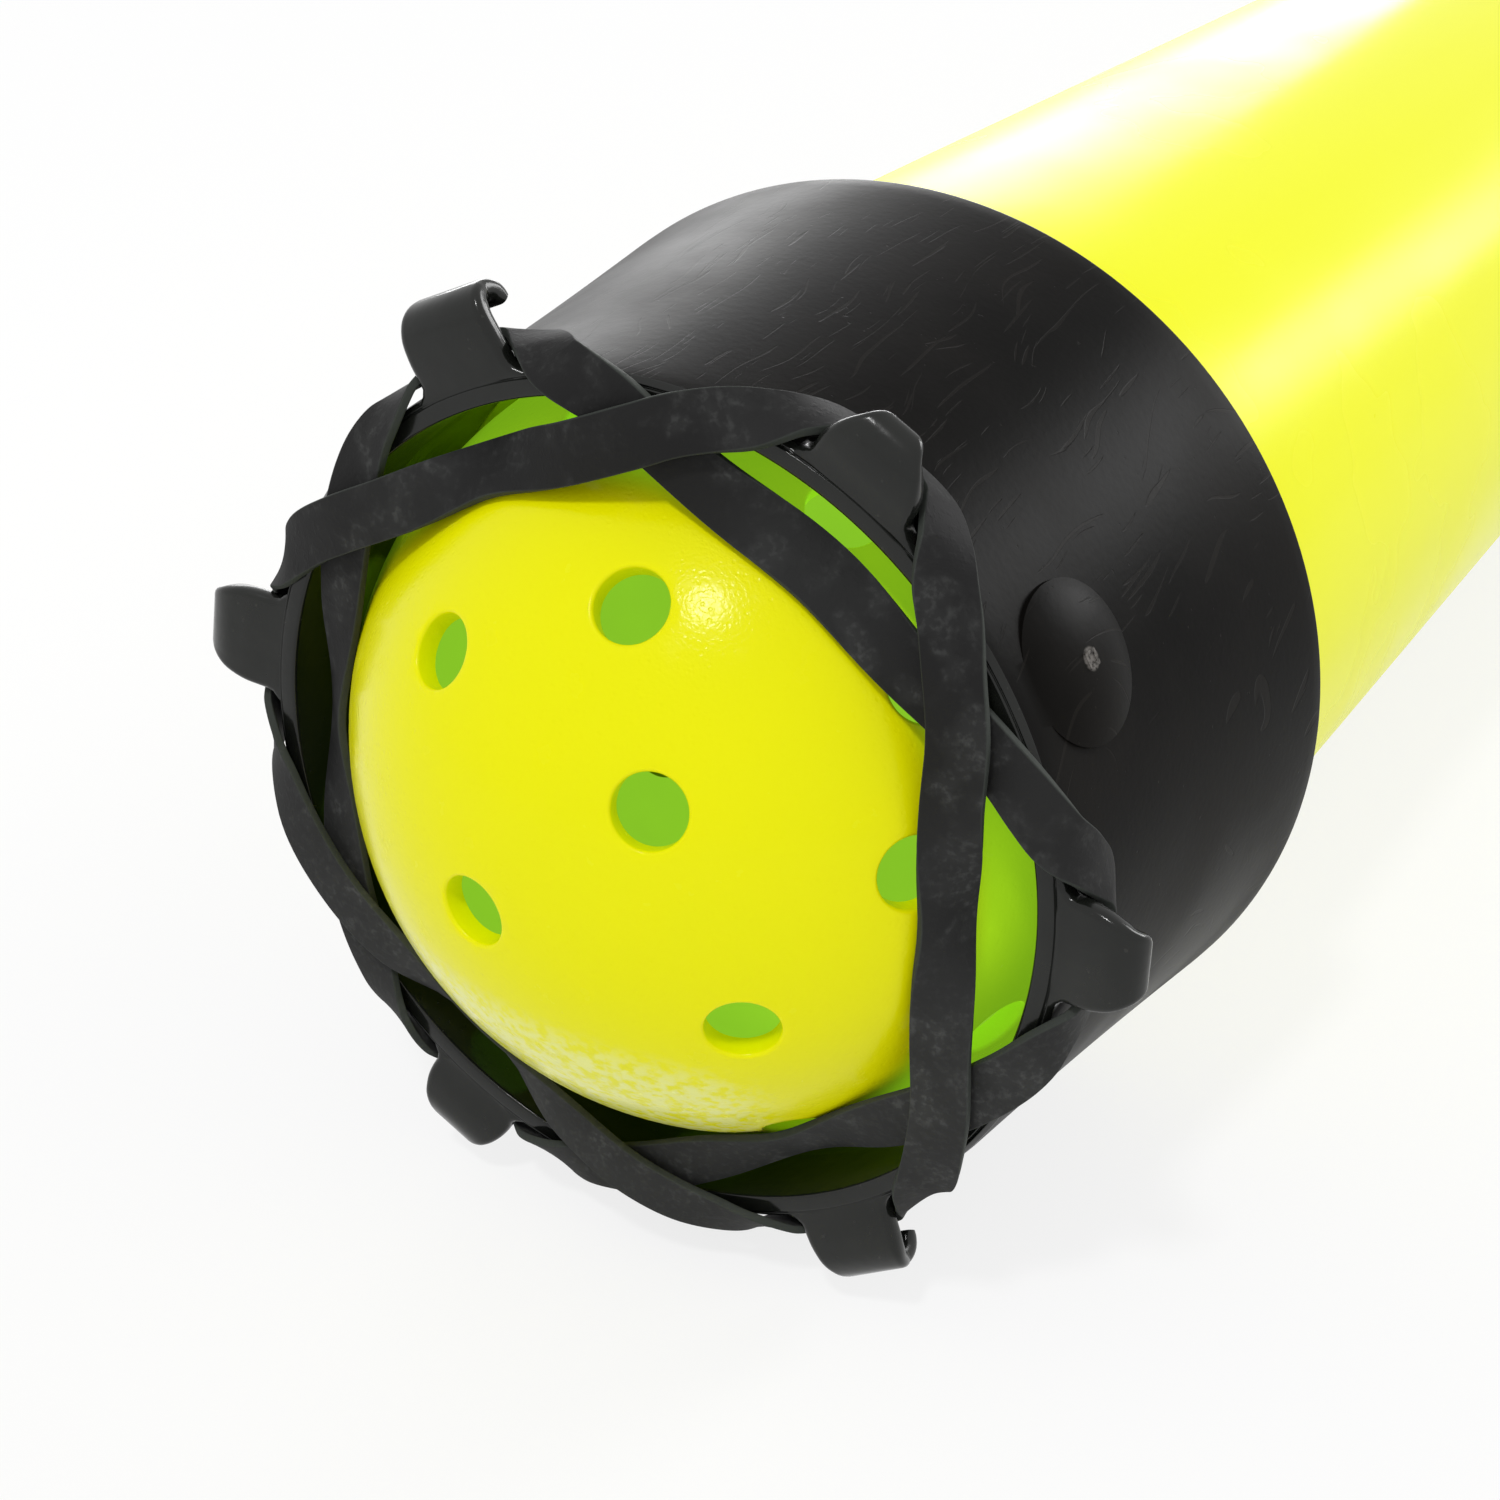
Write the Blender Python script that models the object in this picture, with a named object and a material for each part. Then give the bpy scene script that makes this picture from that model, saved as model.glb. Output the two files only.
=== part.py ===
# Pickleball pickup tube: a long tube with a soft collar at its mouth. Six hooks on the collar
# carry two flat rubber bands, which part to let a ball in and then hold it there.
# Metres, +Z up. The tube lies along Y with its mouth towards -Y and rests on Z = 0.
# Angles round the tube are degrees from straight up, growing towards +X.
# Depths are measured along the tube from the flat front of the collar's lip, growing towards +Y.
import math

import bmesh
import bpy
from mathutils import Matrix, Vector

MM = 0.001
GAP = 0.3 * MM
SEGMENTS = 60

BALL_RADIUS = 37.0 * MM
BALL_WALL = 2.0 * MM
BALL_DEPTH = 20.0 * MM
HOLE_RADIUS = 3.2 * MM
HOLE_COUNT = 40
# Holes that are seen in the mouth, as degrees aside from the mouth's axis and degrees upwards.
SEEN_HOLES = ((10, 41), (-22, 28), (17, 16), (-9, -4), (29, -15), (51, 7), (69, -25), (50, 54))
# Spots in the mouth where the ball has no hole, measured the same way.
BARE_SPOTS = ((0, -37), (-47, 8), (-36, -25), (-60, 36))
# Where the other holes' spiral starts, in radians, and how it is then evened out.
SPIRAL_TURN = 1.179
SPREAD_ROUNDS = 120
SPREAD_STEP = 0.002

TUBE_RADIUS = 40.6 * MM
TUBE_BORE = 38.8 * MM
TUBE_LENGTH = 1000.0 * MM
TUBE_CHAMFER = 0.4 * MM

LIP_BORE = 37.7 * MM
LIP_OUTER = 39.3 * MM
MOUTH_RADIUS = 40.0 * MM
COLLAR_BACK_RADIUS = 45.1 * MM
COLLAR_LENGTH = 46.4 * MM
COLLAR_HOLLOWING = 0.25 * MM
BACK_CHAMFER = 0.4 * MM
SHOULDER_DEPTH = 22.0 * MM
SOCKET_RADIUS = TUBE_RADIUS + GAP
SOCKET_MOUTH = 42.6 * MM
SOCKET_FLARE = 6.0 * MM

HOOK_ANGLES = (-23.5, 31.0, 91.0, 149.0, 209.0, 280.0)
# How much further some of the soft hooks stand out than the rest.
HOOK_STRETCH = (0.3 * MM, -0.4 * MM, 0.0, 0.0, 0.5 * MM, 1.4 * MM)
# The middle of a hook's thickness from its root in the lip to its curled tip: radius and depth.
HOOK_LINE = (
    (38.6, 1.2),
    (41.0, 0.8),
    (43.0, 0.45),
    (44.6, 0.45),
    (45.7, 1.0),
    (46.2, 2.2),
    (45.9, 3.5),
    (44.9, 4.3),
)
# The line's point where it stands out furthest, and how many of its points each hook's curl keeps.
HOOK_CREST = 5
HOOK_POINTS = (8, 6, 6, 8, 6, 6)
# How much of the width is left at each crest.
HOOK_CROWNS = (0.82, 0.28, 0.46, 0.64, 0.22, 0.40)
HOOK_STEPS = 2
HOOK_THICKNESS = 1.8 * MM
HOOK_HALF_WIDTH = 4.9 * MM
HOOK_ROOT_FLARE = 1.6 * MM
HOOK_FLARE_TOP = 40.8 * MM
HOOK_CORNER_REACH = 5.2 * MM
HOOK_EDGE = 0.35 * MM
HOOK_TIP_EDGE = 0.3 * MM
HOOK_STRETCH_REACH = 6.0 * MM

DOME_ANGLE = 61.2
DOME_DEPTH = 9.7 * MM
DOME_RADIUS = 6.9 * MM
DOME_HEIGHT = 1.35 * MM
DOME_ROOT = 1.3 * MM

BAND_WIDTH = 5.6
BAND_THICKNESS = 1.1 * MM
# A band's way out from behind a hook: degrees from the hook's middle, radius and depth in
# millimetres, how far its face leans from facing outwards to facing the front, and its width,
# which is less where it is drawn tight round the hook and over the lip.
BAND_WRAP = (
    (0.0, 41.75, 5.5, 0.0, 5.2),
    (6.0, 41.8, 5.4, 0.0, 5.2),
    (9.0, 41.95, 4.8, 5.0, 5.0),
    (12.5, 41.3, 0.4, 44.0, 4.6),
)
UNDER_LIP = ((16.5, 38.9, -1.4, 76.0, 5.0), (20.5, 37.4, -1.2, 84.0, 5.4))
OVER_LIP = ((16.5, 39.0, -1.6, 76.0, 5.0), (20.5, 37.5, -2.6, 86.0, 5.4))
# Between hooks that stand wide apart a band keeps further out over the lip: millimetres a degree.
WIDE_GAP_SHIFT = 0.15
USUAL_HALF_GAP = 28.0
# Where the bands cross, at so many degrees from the crossing towards the middle of the run.
UNDER_CROSSING = ((0.0, 34.6, -1.1, 82.0, BAND_WIDTH), (12.0, 33.1, -1.1, 62.0, BAND_WIDTH))
OVER_CROSSING = ((0.0, 34.8, -3.0, 87.0, BAND_WIDTH), (12.0, 33.2, -3.4, 88.0, BAND_WIDTH))
BALL_CLEARANCE = 0.5 * MM
# How far from the axis the middle of each run lies on the ball. Run k goes from hook k to hook k + 2.
RUN_RADII = (32.4, 30.7, 32.5, 32.2, 32.4, 32.65)
RUN_LEAN = 48.0
BAND_STEPS = 4

CAP_RADIUS = 43.3 * MM
CAP_SKIRT = 26.0 * MM
CAP_FLOOR = 2.5 * MM
CAP_EDGE = 1.5 * MM
CAP_LEAD_IN = 0.8 * MM
FLANGE_THICKNESS = 5.0 * MM
FLANGE_CORNER_RADIUS = 49.0 * MM

AXIS_HEIGHT = COLLAR_BACK_RADIUS
TUBE_FRONT = SHOULDER_DEPTH + GAP
TUBE_BACK = TUBE_FRONT + TUBE_LENGTH
CAP_BACK = TUBE_BACK + GAP + CAP_FLOOR
BALL_FRONT = BALL_DEPTH - BALL_RADIUS
MOUTH_Y = -(BALL_FRONT + CAP_BACK) / 2


def clear_scene():
    for existing in list(bpy.data.objects):
        bpy.data.objects.remove(existing, do_unlink=True)


def make_material(name, colour, roughness, alpha=1.0):
    material = bpy.data.materials.new(name)
    material.use_nodes = True
    shader = material.node_tree.nodes["Principled BSDF"]
    shader.inputs["Base Color"].default_value = (*colour, 1.0)
    shader.inputs["Roughness"].default_value = roughness
    shader.inputs["Metallic"].default_value = 0.0
    shader.inputs["Alpha"].default_value = alpha
    return material


def add_empty(name, location, parent=None):
    empty = bpy.data.objects.new(name, None)
    empty.location = location
    empty.parent = parent
    bpy.context.collection.objects.link(empty)
    return empty


def add_object(name, bm, parent, material=None, location=(0, 0, 0)):
    bmesh.ops.recalc_face_normals(bm, faces=bm.faces)
    mesh = bpy.data.meshes.new(name)
    bm.to_mesh(mesh)
    bm.free()
    mesh.shade_smooth()
    mesh.set_sharp_from_angle(angle=math.radians(35))
    thing = bpy.data.objects.new(name, mesh)
    thing.location = location
    thing.parent = parent
    bpy.context.collection.objects.link(thing)
    if material:
        mesh.materials.append(material)
    return thing


def hide_cutter(cutter):
    cutter.hide_render = True
    cutter.display_type = "WIRE"


def apply_shape(target, tool, operation):
    modifier = target.modifiers.new(tool.name, "BOOLEAN")
    modifier.operation = operation
    modifier.solver = "EXACT"
    modifier.object = tool
    hide_cutter(tool)


def turn(profile, closed=True):
    # A profile of (radius, depth) points, turned about the tube's axis.
    bm = bmesh.new()
    verts = [bm.verts.new((0, depth, radius)) for radius, depth in profile]
    pairs = list(zip(verts, verts[1:]))
    if closed:
        pairs.append((verts[-1], verts[0]))
    edges = [bm.edges.new(pair) for pair in pairs]
    bmesh.ops.spin(
        bm,
        geom=verts + edges,
        cent=(0, 0, 0),
        axis=(0, 1, 0),
        angle=math.tau,
        steps=SEGMENTS,
    )
    bmesh.ops.remove_doubles(bm, verts=bm.verts, dist=MM / 1000)
    return bm


def skin(bm, rings, closed=False):
    # Joins rings of equal length into a skin, with end faces unless the rings close on themselves.
    rows = [[bm.verts.new(point) for point in ring] for ring in rings]
    pairs = list(zip(rows, rows[1:]))
    if closed:
        pairs.append((rows[-1], rows[0]))
    count = len(rows[0])
    for lower, upper in pairs:
        for i in range(count):
            j = (i + 1) % count
            bm.faces.new((lower[i], lower[j], upper[j], upper[i]))
    if not closed:
        bm.faces.new(rows[0][::-1])
        bm.faces.new(rows[-1])


def radial_at(angle):
    turned = math.radians(angle)
    return Vector((math.sin(turned), 0, math.cos(turned)))


def hermite(values, spans, i, t, closed):
    # A smooth curve through uneven points: value i to value i + 1, at t from 0 to 1.
    count = len(values)

    def value(k):
        return values[k % count] if closed else values[min(max(k, 0), count - 1)]

    def span(k):
        return spans[k % len(spans)] if closed else spans[min(max(k, 0), len(spans) - 1)]

    def slope(k):
        before = (value(k) - value(k - 1)) / span(k - 1)
        after = (value(k + 1) - value(k)) / span(k)
        return (before * span(k) + after * span(k - 1)) / (span(k) + span(k - 1))

    start = value(i)
    end = value(i + 1)
    leave = slope(i) * span(i)
    arrive = slope(i + 1) * span(i)
    square = t * t
    cube = square * t
    return (
        start * (2 * cube - 3 * square + 1)
        + leave * (cube - 2 * square + t)
        + end * (3 * square - 2 * cube)
        + arrive * (cube - square)
    )


def lengths_between(points, closed):
    pairs = list(zip(points, points[1:]))
    if closed:
        pairs.append((points[-1], points[0]))
    return [(b - a).length for a, b in pairs]


def make_tube(parent):
    profile = (
        (TUBE_RADIUS - TUBE_CHAMFER, TUBE_FRONT),
        (TUBE_RADIUS, TUBE_FRONT + TUBE_CHAMFER),
        (TUBE_RADIUS, TUBE_BACK - TUBE_CHAMFER),
        (TUBE_RADIUS - TUBE_CHAMFER, TUBE_BACK),
        (TUBE_BORE + TUBE_CHAMFER, TUBE_BACK),
        (TUBE_BORE, TUBE_BACK - TUBE_CHAMFER),
        (TUBE_BORE, TUBE_FRONT + TUBE_CHAMFER),
        (TUBE_BORE + TUBE_CHAMFER, TUBE_FRONT),
    )
    material = make_material("tube_plastic", (0.84, 0.93, 0.04), 0.12, alpha=0.75)
    return add_object("tube", turn(profile), parent, material)


def collar_radius(depth):
    # The collar's outside: a long taper, very slightly hollow.
    share = depth / (COLLAR_LENGTH - BACK_CHAMFER)
    straight = MOUTH_RADIUS + (COLLAR_BACK_RADIUS - MOUTH_RADIUS) * share
    return straight - COLLAR_HOLLOWING * math.sin(math.pi * share)


def collar_profile():
    front_chamfer = MOUTH_RADIUS - LIP_OUTER
    lip_round = 0.4 * MM
    outside = [front_chamfer + (COLLAR_LENGTH - BACK_CHAMFER - front_chamfer) * k / 4 for k in range(5)]
    points = [(LIP_BORE + lip_round, 0), (LIP_OUTER, 0)]
    points += [(collar_radius(depth), depth) for depth in outside]
    points += [
        (COLLAR_BACK_RADIUS - BACK_CHAMFER, COLLAR_LENGTH),
        (SOCKET_MOUTH, COLLAR_LENGTH),
        (SOCKET_RADIUS, COLLAR_LENGTH - SOCKET_FLARE),
        (SOCKET_RADIUS, SHOULDER_DEPTH),
        (TUBE_BORE, SHOULDER_DEPTH),
        (LIP_BORE, SHOULDER_DEPTH / 3),
        (LIP_BORE, lip_round),
    ]
    return points


def hook_half_width(radius, crest_radius, crown):
    width = HOOK_HALF_WIDTH
    if radius < HOOK_FLARE_TOP:
        share = (HOOK_FLARE_TOP - radius) / (HOOK_FLARE_TOP - LIP_OUTER)
        width += HOOK_ROOT_FLARE * min(share, 1.0) ** 2
    missing = 1 - min((crest_radius - radius) / HOOK_CORNER_REACH, 1.0)
    return width * (crown + (1 - crown) * math.sqrt(1 - missing**2))


def hook_rings(angle, stretch, points, crown):
    root, *rest = (Vector((radius, depth, 0)) * MM for radius, depth in HOOK_LINE[:points])
    shares = [min((point - root).length / HOOK_STRETCH_REACH, 1.0) for point in rest]
    line = [root] + [point + Vector((stretch * share, 0, 0)) for point, share in zip(rest, shares)]
    spans = lengths_between(line, closed=False)
    centres = []
    for i in range(len(spans)):
        centres += [hermite(line, spans, i, k / HOOK_STEPS, False) for k in range(HOOK_STEPS)]
    centres.append(line[-1])
    crest = HOOK_CREST * HOOK_STEPS
    crest_radius = centres[crest].x
    outward = radial_at(angle)
    aside = radial_at(angle + 90)
    back = Vector((0, 1, 0))
    rings = []
    for i, centre in enumerate(centres):
        before = centres[max(i - 1, 0)]
        after = centres[min(i + 1, len(centres) - 1)]
        along = (after - before).normalized()
        width = hook_half_width(centre.x if i < crest else crest_radius, crest_radius, crown)
        thickness = HOOK_THICKNESS / 2
        if i == len(centres) - 1:
            thickness -= HOOK_TIP_EDGE
        through = outward * -along.y + back * along.x
        middle = outward * centre.x + back * centre.y
        corners = (
            (width, -thickness + HOOK_EDGE),
            (width, thickness - HOOK_EDGE),
            (width - HOOK_EDGE, thickness),
            (HOOK_EDGE - width, thickness),
            (-width, thickness - HOOK_EDGE),
            (-width, -thickness + HOOK_EDGE),
            (HOOK_EDGE - width, -thickness),
            (width - HOOK_EDGE, -thickness),
        )
        rings.append([middle + aside * a + through * b for a, b in corners])
    return rings


def make_hooks(parent):
    bm = bmesh.new()
    for hook in zip(HOOK_ANGLES, HOOK_STRETCH, HOOK_POINTS, HOOK_CROWNS):
        skin(bm, hook_rings(*hook))
    return add_object("hook_shapes", bm, parent)


def make_dome(parent):
    # A low round boss: a cap of a sphere with its root sunk in the collar's wall.
    sphere = (DOME_RADIUS**2 + DOME_HEIGHT**2) / (2 * DOME_HEIGHT)
    opening = math.asin(DOME_RADIUS / sphere)
    arc = [opening * k / 4 for k in range(5)]
    profile = [(sphere * math.sin(a), sphere * math.cos(a) - sphere + DOME_HEIGHT) for a in arc]
    profile += [(DOME_RADIUS, -DOME_ROOT), (0, -DOME_ROOT)]
    bm = bmesh.new()
    verts = [bm.verts.new((radius, 0, height)) for radius, height in profile]
    edges = [bm.edges.new(pair) for pair in zip(verts, verts[1:])]
    bmesh.ops.spin(bm, geom=verts + edges, cent=(0, 0, 0), axis=(0, 0, 1), angle=math.tau, steps=20)
    bmesh.ops.remove_doubles(bm, verts=bm.verts, dist=MM / 1000)
    slope = math.atan2(COLLAR_BACK_RADIUS - MOUTH_RADIUS, COLLAR_LENGTH)
    place = radial_at(DOME_ANGLE) * collar_radius(DOME_DEPTH) + Vector((0, DOME_DEPTH, 0))
    turned = Matrix.Rotation(math.radians(DOME_ANGLE), 4, "Y") @ Matrix.Rotation(slope, 4, "X")
    bmesh.ops.transform(bm, matrix=Matrix.Translation(place) @ turned, verts=bm.verts)
    return add_object("dome_shape", bm, parent)


def make_collar(parent):
    material = make_material("collar_vinyl", (0.03, 0.029, 0.03), 0.42)
    collar = add_object("mouth_collar", turn(collar_profile()), parent, material)
    apply_shape(collar, make_hooks(parent), "UNION")
    apply_shape(collar, make_dome(parent), "UNION")
    return collar


def hook_pair_middle(k):
    # Halfway round between hook k and hook k + 2, where run k lies on the ball.
    first = HOOK_ANGLES[k % 6] + 360.0 * (k // 6)
    second = HOOK_ANGLES[(k + 2) % 6] + 360.0 * ((k + 2) // 6)
    return (first + second) / 2


def band_station(angle, radius, depth, lean, width):
    radial = radial_at(angle)
    tipped = math.radians(lean)
    point = radial * radius * MM + Vector((0, depth * MM, 0))
    facing = radial * math.cos(tipped) - Vector((0, 1, 0)) * math.sin(tipped)
    return point, facing, width * MM


def station_on_ball(angle, radius):
    # The band's inner edge rests on the ball, as near as the clearance lets it.
    tipped = math.radians(RUN_LEAN)
    half_width = BAND_WIDTH * MM / 2
    half_depth = BAND_THICKNESS / 2
    edge = radius * MM - half_depth * math.cos(tipped) - half_width * math.sin(tipped)
    before_centre = math.sqrt((BALL_RADIUS + BALL_CLEARANCE) ** 2 - edge**2)
    back_to_middle = half_width * math.cos(tipped) - half_depth * math.sin(tipped)
    depth = BALL_DEPTH - before_centre + back_to_middle
    return band_station(angle, radius, depth / MM, RUN_LEAN, BAND_WIDTH)


def lip_stations(hook, toward, lip):
    # Over the lip beside a hook, on the side of the next hook round.
    side = 1 if toward > hook else -1
    shift = (abs(toward - hook) / 2 - USUAL_HALF_GAP) * WIDE_GAP_SHIFT
    return [band_station(hook + side * offset, radius + shift, *rest) for offset, radius, *rest in lip]


def band_run(k, lip, crossing):
    # From the middle of hook k over the lip, across the ball and back behind hook k + 2.
    first, between, second = (HOOK_ANGLES[(k + n) % 6] + 360.0 * ((k + n) // 6) for n in range(3))
    middle = hook_pair_middle(k)
    before = (first + between) / 2
    after = (between + second) / 2
    stations = [band_station(first + offset, *rest) for offset, *rest in BAND_WRAP]
    stations += lip_stations(first, between, lip)
    stations += [band_station(before + offset, *rest) for offset, *rest in crossing]
    stations.append(station_on_ball(middle, RUN_RADII[k]))
    stations += [band_station(after - offset, *rest) for offset, *rest in crossing[::-1]]
    stations += lip_stations(second, between, lip)[::-1]
    stations += [band_station(second - offset, *rest) for offset, *rest in BAND_WRAP[:0:-1]]
    return stations


def make_band(name, runs, lip, crossing, parent, material):
    stations = []
    for k in runs:
        stations += band_run(k, lip, crossing)
    points, facings, widths = zip(*stations)
    spans = lengths_between(points, closed=True)
    centres = []
    faces = []
    half_widths = []
    for i in range(len(points)):
        for step in range(BAND_STEPS):
            t = step / BAND_STEPS
            centres.append(hermite(points, spans, i, t, True))
            faces.append(hermite(facings, spans, i, t, True))
            half_widths.append(hermite(widths, spans, i, t, True) / 2)
    count = len(centres)
    rings = []
    for i, centre in enumerate(centres):
        along = (centres[(i + 1) % count] - centres[i - 1]).normalized()
        facing = (faces[i] - along * faces[i].dot(along)).normalized()
        half_width = along.cross(facing) * half_widths[i]
        half_depth = facing * BAND_THICKNESS / 2
        rings.append([
            centre + half_width + half_depth,
            centre - half_width + half_depth,
            centre - half_width - half_depth,
            centre + half_width - half_depth,
        ])
    bm = bmesh.new()
    skin(bm, rings, closed=True)
    return add_object(name, bm, parent, material)


def aimed(aside, upward):
    level = math.cos(math.radians(upward))
    turned = math.radians(aside)
    return Vector((level * math.sin(turned), -level * math.cos(turned), math.sin(math.radians(upward))))


def hole_directions():
    # The seen holes stay put, and the others spread out over the rest of the ball, away from the bare spots.
    placed = [aimed(*spot) for spot in SEEN_HOLES]
    bare = [aimed(*spot) for spot in BARE_SPOTS]
    golden = math.pi * (3 - math.sqrt(5))
    spiral = []
    for k in range(4 * HOLE_COUNT):
        height = 1 - (2 * k + 1) / (4 * HOLE_COUNT)
        ring = math.sqrt(1 - height * height)
        turned = golden * k + SPIRAL_TURN
        spiral.append(Vector((ring * math.cos(turned), height, ring * math.sin(turned))))
    while len(placed) < HOLE_COUNT:
        placed.append(max(spiral, key=lambda spot: min((spot - other).length for other in placed + bare)))
    for _ in range(SPREAD_ROUNDS):
        for i in range(len(SEEN_HOLES), HOLE_COUNT):
            push = Vector((0, 0, 0))
            for other in placed[:i] + placed[i + 1:] + bare:
                apart = placed[i] - other
                push += apart / apart.length**4
            placed[i] = (placed[i] + push * SPREAD_STEP).normalized()
    return placed


def make_hole_cutters(parent):
    bm = bmesh.new()
    inner = BALL_RADIUS * 0.75
    outer = BALL_RADIUS * 1.1
    for direction in hole_directions():
        place = Matrix.Translation(direction * (inner + outer) / 2)
        turned = direction.to_track_quat("Z", "Y").to_matrix().to_4x4()
        bmesh.ops.create_cone(
            bm,
            cap_ends=True,
            segments=10,
            radius1=HOLE_RADIUS,
            radius2=HOLE_RADIUS,
            depth=outer - inner,
            matrix=place @ turned,
        )
    return add_object("hole_shapes", bm, parent)


def make_sphere(name, radius, segments, parent, material=None):
    bm = bmesh.new()
    bmesh.ops.create_uvsphere(bm, u_segments=segments, v_segments=segments // 2, radius=radius)
    return add_object(name, bm, parent, material)


def make_ball(parent):
    material = make_material("ball_plastic", (0.80, 0.83, 0.0), 0.35)
    ball = make_sphere("ball", BALL_RADIUS, 32, parent, material)
    apply_shape(ball, make_hole_cutters(parent), "DIFFERENCE")
    apply_shape(ball, make_sphere("ball_hollow", BALL_RADIUS - BALL_WALL, 24, parent), "DIFFERENCE")
    return ball


def flange_outline():
    # Six flats with their corners rounded off, one flat straight down.
    flat_end = math.degrees(math.acos(AXIS_HEIGHT / FLANGE_CORNER_RADIUS))
    corner = 60 - 2 * flat_end
    angles = []
    for side in range(6):
        angles += [60 * side + flat_end + corner * k / 3 for k in range(4)]
    return [radial_at(angle) * FLANGE_CORNER_RADIUS for angle in angles]


def make_flange(parent):
    bm = bmesh.new()
    front = Vector((0, -CAP_SKIRT, 0))
    rings = [[point + front + Vector((0, y, 0)) for point in flange_outline()] for y in (0, FLANGE_THICKNESS)]
    skin(bm, rings)
    return add_object("flange_shape", bm, parent)


def make_cap_bore(parent):
    profile = (
        (0, GAP),
        (SOCKET_RADIUS, GAP),
        (SOCKET_RADIUS, -CAP_SKIRT + CAP_LEAD_IN),
        (SOCKET_RADIUS + 2 * CAP_LEAD_IN, -CAP_SKIRT - CAP_LEAD_IN),
        (0, -CAP_SKIRT - CAP_LEAD_IN),
    )
    return add_object("cap_bore_shape", turn(profile, closed=False), parent)


def make_cap(parent):
    # Its depths are measured from the back end of the tube.
    back = GAP + CAP_FLOOR
    profile = (
        (0, -CAP_SKIRT),
        (CAP_RADIUS, -CAP_SKIRT),
        (CAP_RADIUS, back - CAP_EDGE),
        (CAP_RADIUS - CAP_EDGE * 0.3, back - CAP_EDGE * 0.3),
        (CAP_RADIUS - CAP_EDGE, back),
        (0, back),
    )
    material = make_material("cap_plastic", (0.03, 0.03, 0.031), 0.5)
    cap = add_object("end_cap", turn(profile, closed=False), parent, material)
    apply_shape(cap, make_flange(parent), "UNION")
    apply_shape(cap, make_cap_bore(parent), "DIFFERENCE")
    return cap


def main():
    clear_scene()
    mouth = add_empty("mouth_centre", (0, MOUTH_Y, AXIS_HEIGHT))
    ball_place = add_empty("ball_travel", (0, BALL_DEPTH, 0), mouth)
    cap_place = add_empty("cap_travel", (0, TUBE_BACK, 0), mouth)
    make_tube(mouth)
    make_collar(mouth)
    rubber = make_material("band_rubber", (0.035, 0.035, 0.037), 0.7)
    make_band("under_band", (0, 2, 4), UNDER_LIP, UNDER_CROSSING, mouth, rubber)
    rubber_over = make_material("band_rubber_over", (0.035, 0.035, 0.037), 0.7)
    make_band("over_band", (1, 3, 5), OVER_LIP, OVER_CROSSING, mouth, rubber_over)
    make_ball(ball_place)
    make_cap(cap_place)
    print("mouth plane at y", round(MOUTH_Y, 6), "axis at z", round(AXIS_HEIGHT, 6))
    print("ball centre at y", round(MOUTH_Y + BALL_DEPTH, 6), "tube back at y", round(MOUTH_Y + TUBE_BACK, 6))


main()
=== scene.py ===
import math

import bmesh
import bpy
from mathutils import Matrix, Vector


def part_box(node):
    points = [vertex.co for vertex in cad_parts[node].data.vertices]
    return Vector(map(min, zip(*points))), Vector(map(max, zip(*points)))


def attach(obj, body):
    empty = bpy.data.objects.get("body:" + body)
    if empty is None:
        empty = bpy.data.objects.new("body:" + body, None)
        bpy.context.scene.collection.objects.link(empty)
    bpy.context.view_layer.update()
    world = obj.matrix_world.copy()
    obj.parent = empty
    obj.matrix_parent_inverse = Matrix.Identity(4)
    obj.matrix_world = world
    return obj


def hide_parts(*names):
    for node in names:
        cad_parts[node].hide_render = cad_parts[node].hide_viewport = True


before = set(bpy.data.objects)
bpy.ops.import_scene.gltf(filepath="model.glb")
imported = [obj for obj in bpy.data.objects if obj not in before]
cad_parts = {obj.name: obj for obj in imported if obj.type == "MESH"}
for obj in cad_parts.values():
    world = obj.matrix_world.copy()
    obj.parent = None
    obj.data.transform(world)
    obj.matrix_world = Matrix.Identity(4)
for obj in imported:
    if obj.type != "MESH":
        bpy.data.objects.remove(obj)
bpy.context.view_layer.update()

mm = 0.001
sameSpot = mm / 1000  # points closer than this are merged
quarterTurn = math.pi / 2

# the tube lies along Y with its mouth towards -Y, and depth is counted in mm from the lip's front
tubeLow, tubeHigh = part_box("tube")
tubeFront = 22.3
tubeLength = (tubeHigh.y - tubeLow.y) / mm
axisHeight = (tubeLow.z + tubeHigh.z) / 2
mouthPlace = Vector((0, tubeLow.y - tubeFront * mm, axisHeight))
tubeEnd = mouthPlace + Vector((0, (tubeFront + tubeLength) * mm, 0))
print("frame loaded, mouth at", [round(value, 5) for value in mouthPlace])


# small helpers

def radialAt(angle):
    # degrees from straight up, growing towards +X
    turned = math.radians(angle)
    return Vector((math.sin(turned), 0, math.cos(turned)))


def roundCorners(corners, steps=4, mostOfSide=0.48):
    # (x, y, rounding) corners of a closed outline, each softened by a short curve
    points = []
    count = len(corners)
    for i, (x, y, rounding) in enumerate(corners):
        here = Vector((x, y))
        if not rounding:
            points.append((x, y))
            continue
        before = Vector(corners[i - 1][:2]) - here
        after = Vector(corners[(i + 1) % count][:2]) - here
        half = before.angle(after) / 2
        shorter = min(before.length * mostOfSide, after.length * mostOfSide)
        reach = min(rounding / math.tan(half), shorter)
        start = here + before.normalized() * reach
        end = here + after.normalized() * reach
        for k in range(steps + 1):
            t = k / steps
            curve = start * (1 - t) ** 2 + here * (2 * t * (1 - t)) + end * (t * t)
            points.append(tuple(curve))
    return points


def quarterRound(edge, steps):
    # points round a quarter circle: how far each is from the corner's two sides
    swings = [quarterTurn * k / steps for k in range(steps + 1)]
    return [(edge * (1 - math.cos(swing)), edge * (1 - math.sin(swing))) for swing in swings]


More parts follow.
